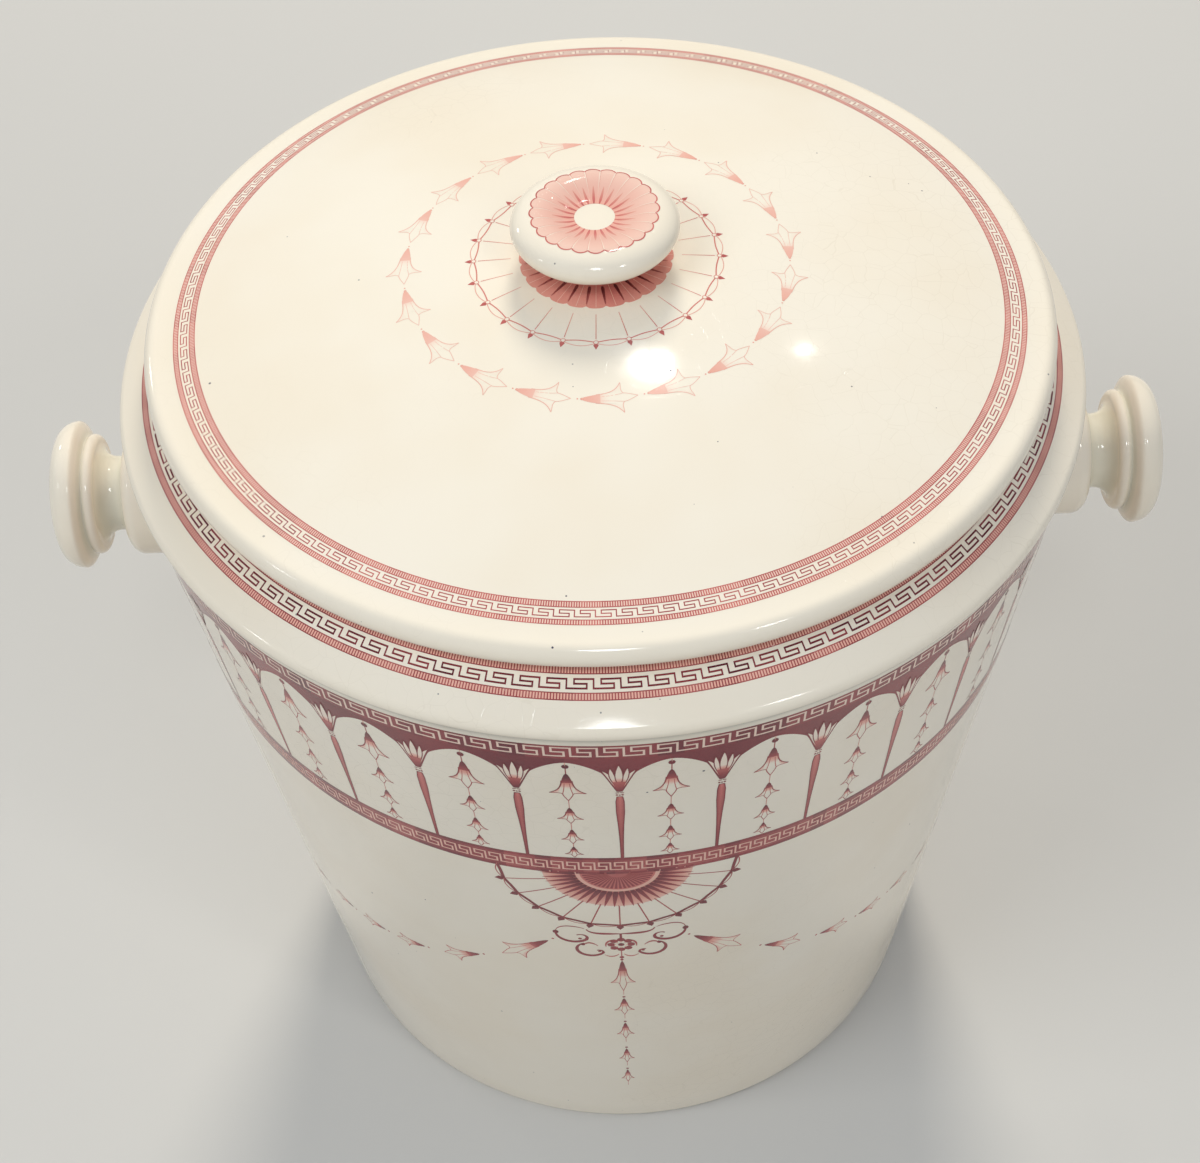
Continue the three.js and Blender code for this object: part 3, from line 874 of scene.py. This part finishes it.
arcade.dot((0, 224.4), 0.30, 0.80)
arcade.line([(half, 241.0), (half, 239.4)], 0.24, 0.20, layer=1)
arcade.dot((half, 239.0), 0.95, 0.88, 1.1, layer=1)
arcade.line([(half, 238.2), (half, 235.4)], 0.30, 0.66)
for i, (top, length, reach) in enumerate(p["pendant"]):
    bell(arcade, (half, top), (0, -1), length, reach, 0.92, 0.76, 0.40 if i == 0 else 0.32)
    if i < 3:
        arcade.line([(half, top - length), (half, p["pendant"][i + 1][0])], 0.20, 0.46)
printed("wallArcade", arcade, onSide(p["radius"]), False, pailBody, "pail", p["arches"], seed=10)


# Panel at the front and the back: half patera, scrolls, drop and swags

panelPrint = {
    "centre": 181.6, "radius": 33.0, "nominal": 124.3, "turn": -0.7,
    "hub": 10.4, "disc": 11.6, "strokes": 24, "strokeEnd": 20.6, "strokeWidth": 1.75,
    "swagLow": 86.0, "swagRise": 51.0, "swagBend": 22.0,
    "swag": [(10.15, 21.6, 5.3), (21.3, 16.0, 4.5), (31.4, 13.4, 3.7), (39.7, 12.2, 3.3), (47.6, 11.4, 3.0),
             (55.4, 10.8, 2.8), (62.9, 10.4, 2.6), (70.3, 10.2, 2.5), (77.5, 10.0, 2.4)],
    "drop": [(124.7, 21.0, 4.0), (98.0, 12.0, 3.4), (79.5, 12.0, 3.1), (59.0, 11.0, 2.8), (41.5, 10.0, 2.5)],
}
p = panelPrint
panel = Plate()


def polar(r, a):                                 # a from straight down, towards +u
    return (r * sin(radians(a)), p["centre"] - r * cos(radians(a)))


sweep = [-90 + 180 * i / 72 for i in range(73)]
for near, far, ink, fade in ((1.0, p["hub"], 0.62, 0.50), (p["hub"], p["disc"], 0.20, 0.20),
                             (p["disc"], p["strokeEnd"], 0.58, 0.16)):
    panel.strip([polar(near, a) for a in sweep], [polar(far, a) for a in sweep], ink, fade)
for i in range(p["strokes"]):
    a = -90 + 180 * (i + 0.5) / p["strokes"]
    panel.line([polar(p["disc"], a), polar(p["strokeEnd"] + 0.6, a)],
               lambda t: p["strokeWidth"] * (1 - t) ** 0.7 * min(1.0, 0.5 + 4 * t) + 0.08,
               lambda t: 0.94 - 0.30 * t, layer=1)
    panel.line([polar(3.0, a), polar(p["hub"] - 0.6, a)], lambda t: 0.16 + 0.60 * t, 0.78, layer=1)
for k in range(-6, 7):
    a = 15.0 * k
    panel.line([polar(20.0, a), polar(p["radius"] - 0.4, a)], 0.42, 0.66)
    if abs(k) < 6:
        tip = [(0.1, 0.3), (0.6, 0.9), (1.2, 1.1), (2.0, 0.6), (2.8, 0.05)]
        lefts = [polar(p["radius"] + r, a - degrees(s / p["radius"])) for r, s in tip]
        rights = [polar(p["radius"] + r, a + degrees(s / p["radius"])) for r, s in tip]
        panel.strip(lefts, rights, 0.88)
    if k < 6:
        for way, width, ink in ((-0.40, 1.00, 0.86), (0.95, 0.34, 0.64)):
            lens = [polar(p["radius"] + way * sin(pi * i / 8), a + 15 * i / 8) for i in range(9)]
            panel.line(lens, width, ink)

curls = [                                        # centre line, widest and ink of each stroke, on one side
    (bezier((0.0, 143.1), (6.5, 143.2), (9.2, 143.3), (10.1, 145.9), 10), 0.85, 0.74),
    (arc((14.2, 142.6), 5.1, 5.1, 10, -140, 16) + arc((11.9, 140.5), 1.9, 1.9, 212, 50, 8), 0.95, 0.76),
    (bezier((10.6, 146.3), (13.2, 148.0), (18.9, 148.6), (19.3, 143.6), 12), 0.42, 0.70),
    (arc((9.2, 132.9), 4.3, 4.3, 65, -148, 18) + arc((6.8, 131.2), 1.3, 1.2, 205, 60, 6), 0.90, 0.76),
    (bezier((11.3, 135.7), (10.2, 137.9), (8.4, 137.3), (7.0, 135.2), 8), 0.60, 0.60),
    (bezier((0.6, 138.6), (3.2, 139.8), (5.0, 137.6), (4.6, 134.8), 8), 0.60, 0.62),
    (bezier((0.8, 129.6), (2.0, 127.6), (3.8, 127.6), (5.2, 129.3), 8), 0.45, 0.50),
]
for side in (-1, 1):
    for path, widest, ink in curls:
        swell = lambda t: widest * (0.55 + 0.85 * sin(pi * min(t * 1.1, 1)))
        panel.line([(side * u, v) for u, v in path], swell, ink)
    panel.dot((side * 19.3, 143.2), 0.95, 0.88, 1.2)
    panel.dot((side * 12.2, 139.7), 0.60, 0.78)
    panel.dot((side * 11.5, 135.9), 0.70, 0.80)
    panel.dot((side * 6.6, 131.6), 0.55, 0.76)
for i in range(8):                               # small rosette between the curls
    a = radians(45 * i)
    panel.dot((3.0 * cos(a), 136.0 + 3.2 * sin(a)), 1.25, 0.76)
    panel.dot((1.8 * cos(a), 136.0 + 1.9 * sin(a)), 0.34, 0.20, layer=1)
panel.dot((0, 136.0), 1.0, 0.86, layer=1)
panel.line([(0, 143.0), (0, 138.2)], 0.75, 0.80)
panel.line([(0, 132.6), (0, 124.9)], 0.35, 0.60)
panel.dot((0, 127.4), 0.75, 0.76)

for top, length, reach in p["drop"]:
    bell(panel, (0, top), (0, -1), length, reach, 0.90, 0.66, 0.34)
    panel.dot((0, top + 1.1), 0.55, 0.80)
    panel.line([(0, top - length), (0, top - length - 3.0)], 0.18, 0.42)


def swagHeight(angle):
    return p["swagLow"] + p["swagRise"] * exp(-(angle - 10) / p["swagBend"])


def swagPoint(angle):
    return (radians(angle) * p["nominal"], swagHeight(angle))


for side in (-1, 1):
    for angle, length, reach in p["swag"]:
        here, on = swagPoint(angle), swagPoint(angle + length / 2.4)
        bell(panel, (side * here[0], here[1]), (side * (on[0] - here[0]) * 0.945, on[1] - here[1]),
             length, reach, 0.84, 0.60, 0.34)
        back = swagPoint(angle - 0.7)
        panel.dot((side * back[0], back[1]), 0.45, 0.60)
printed("wallPanels", panel, onSide(p["nominal"]), False, pailBody, "pail", 2, first=p["turn"], seed=11)

knot = Plate()                                   # where two swags meet, under each lug
for i in range(6):
    a = radians(60 * i)
    knot.dot((1.5 * cos(a), swagHeight(90) + 1.5 * sin(a)), 0.8, 0.62)
knot.dot((0, swagHeight(90)), 0.7, 0.35, layer=1)
printed("swagKnots", knot, onSide(112.5), False, pailBody, "pail", 2, first=90, seed=12)
print("print laid")


# Floor and light

def plain(name, colour, rough):
    material = bpy.data.materials.new(name)
    g = emptied(material)
    where = g.node("ShaderNodeTexCoord")["Object"]
    tone = g.blend(g.noise(where, 3.0, 3.0), (*[c * 0.97 for c in colour], 1), (*colour, 1))
    shader = g.node("ShaderNodeBsdfPrincipled", {}, {"Base Color": tone, "Roughness": rough})
    g.node("ShaderNodeOutputMaterial", {}, {"Surface": shader})
    return material


floorMesh = bpy.data.meshes.new("floor")
floorMesh.from_pydata([(-4, -4, 0), (4, -4, 0), (4, 4, 0), (-4, 4, 0)], [], [(0, 1, 2, 3)])
floorPiece = bpy.data.objects.new("floor", floorMesh)
floorMesh.materials.append(plain("floorPaper", (0.60, 0.58, 0.55), 0.9))
bpy.context.scene.collection.objects.link(floorPiece)

world = bpy.data.worlds.new("studio")
bpy.context.scene.world = world
g = emptied(world)
sky = g.node("ShaderNodeBackground", {}, {"Color": (0.76, 0.84, 0.94, 1), "Strength": 0.37})
g.node("ShaderNodeOutputWorld", {}, {"Surface": sky})

lights = [                                       # name, place, aims at, size, watts, colour, seen in the glaze
    ("window", (-1.0, -0.7, 1.5), (0, 0, 0.2), 0.9, 10.0, (0.92, 0.97, 1.0), False),
    ("back", (0.15, 1.7, 1.6), (0, 0, 0.28), 0.6, 31.0, (1.0, 0.95, 0.84), False),
    ("fill", (0.9, -1.2, 1.2), (0, 0, 0.12), 0.8, 4.2, (0.92, 0.96, 1.0), False),
    ("backGlint", (0.146, 1.12, 1.91), (0.014, -0.041, 0.289), 0.13, 1.1, (1.0, 0.96, 0.90), True),
    ("smallGlint", (0.595, 1.18, 1.78), (0.053, -0.036, 0.287), 0.05, 0.15, (1.0, 0.96, 0.90), True),
    ("frontGlint", (-0.02, -1.02, 1.73), (0, -0.13, 0.25), 0.31, 3.8, (0.94, 0.98, 1.0), True),
    ("rightGlint", (0.67, -0.82, 1.39), (0.15, 0, 0.21), 0.16, 1.3, (1.0, 0.98, 0.95), True),
    ("leftGlint", (-1.45, -0.35, 1.0), (-0.15, 0, 0.21), 0.14, 0.7, (1.0, 0.98, 0.95), True),
    ("leftBackGlint", (-1.17, 0.94, 0.82), (-0.15, 0, 0.23), 0.14, 0.7, (1.0, 0.98, 0.95), True),
]
for name, place, aim, size, watts, colour, seen in lights:
    lamp = bpy.data.lights.new(name, "AREA")
    lamp.shape, lamp.size, lamp.energy, lamp.color = "DISK", size, watts, colour
    holder = bpy.data.objects.new(name, lamp)
    holder.location, holder.visible_glossy = place, seen
    holder.rotation_euler = (Vector(aim) - Vector(place)).to_track_quat("-Z", "Y").to_euler()
    bpy.context.scene.collection.objects.link(holder)

bpy.context.scene.view_settings.view_transform = "Standard"
print("studio lit")
